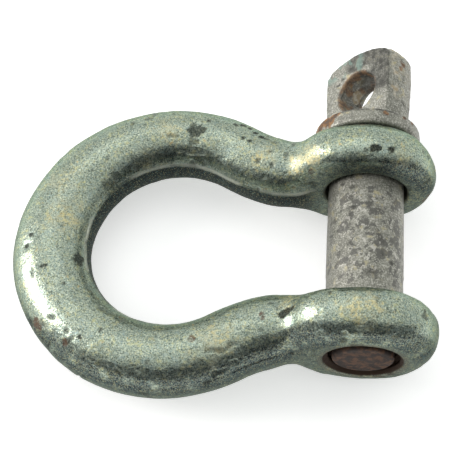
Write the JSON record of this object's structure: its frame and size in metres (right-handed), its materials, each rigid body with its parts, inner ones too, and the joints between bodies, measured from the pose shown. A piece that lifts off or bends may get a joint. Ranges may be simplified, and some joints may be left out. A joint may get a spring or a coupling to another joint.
{
  "type": "bow shackle",
  "caption": "Bow shackle: a rounded forged bow with an ear at each end, closed by a screw pin that has a collar and a flattened lug with an eye.",
  "frame": {"origin": "on the pin's axis, midway between the two ears", "axes": "+Y along the pin towards its head, -X towards the bow's crown, +Z square to the plane of the bow"},
  "size_m": [0.09, 0.0827, 0.0294],
  "materials": {
    "bow_steel": "zinc-coated forging, worn, grey-green with a fine grain and small rust marks",
    "pin_steel": "zinc-coated steel, worn, with rust at the end face, the collar and the eye"
  },
  "bodies": {
    "shackle_body": {"bow_body": "bow_steel"},
    "pin_travel_body": {"pin_core": "pin_steel"},
    "pin": {"screw_pin": "pin_steel"}
  },
  "joints": [
    {"name": "pin_travel", "type": "slide", "parent": "shackle_body", "child": "pin_travel_body", "axis": [0, 1, 0], "range_m": [0, 0.05]},
    {"name": "pin_turn", "type": "hinge", "parent": "pin_travel_body", "child": "pin", "pos_m": [0, 0, 0], "axis": [0, 1, 0], "range_deg": [0, 9020]}
  ],
  "couplings": [
    {"joint": "pin_turn", "follows": "pin_travel", "rad_per_m": 3141.6}
  ]
}
